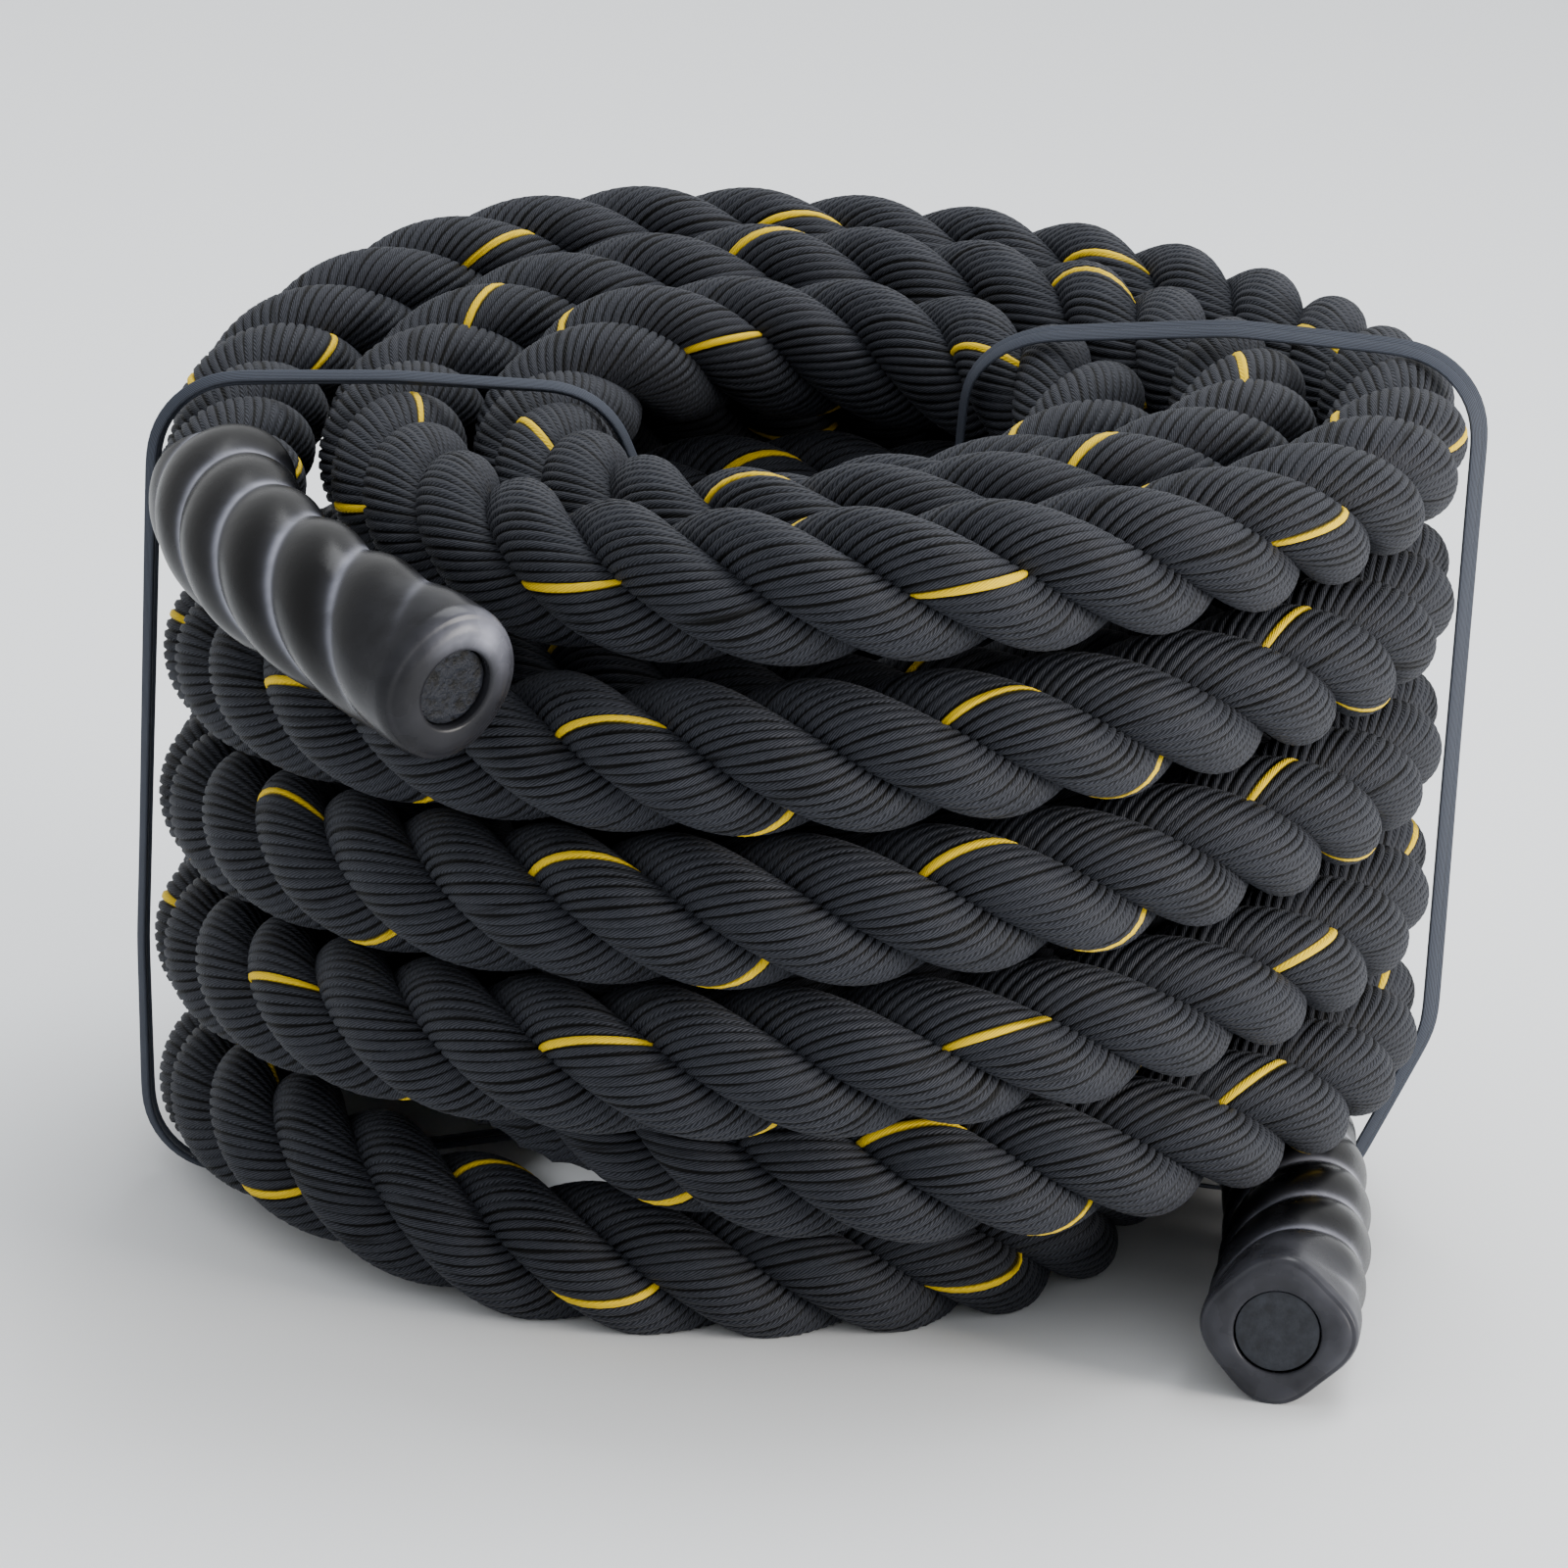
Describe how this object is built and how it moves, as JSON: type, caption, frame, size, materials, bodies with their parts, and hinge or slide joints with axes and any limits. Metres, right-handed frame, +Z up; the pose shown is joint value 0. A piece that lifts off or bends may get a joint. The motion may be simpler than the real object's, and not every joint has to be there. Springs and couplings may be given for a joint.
{
  "type": "battle rope",
  "caption": "Thick twisted exercise rope wound into a tied, round coil, with a smooth black grip sleeve and an end cap on each free end.",
  "frame": {"origin": "centre of the bounding box's bottom, on the floor under the coil", "axes": "+Z up along the winding's axis, -Y towards the viewer and the two free ends, +X to the viewer's right"},
  "size_m": [0.3442, 0.3696, 0.2406],
  "materials": {
    "rope": "matte twisted polyester yarn, charcoal black, with one yellow marker yarn",
    "sleeve": "glossy black shrink tube",
    "end_cap": "matte, slightly rough",
    "tie": "flat woven tape, blue grey"
  },
  "bodies": {
    "root": {"rope_coil": "rope", "upper_tail": "rope", "lower_tail": "rope", "upper_sleeve": "sleeve", "lower_sleeve": "sleeve", "upper_end_cap": "end_cap", "lower_end_cap": "end_cap", "left_tie": "tie", "right_tie": "tie"}
  },
  "joints": []
}
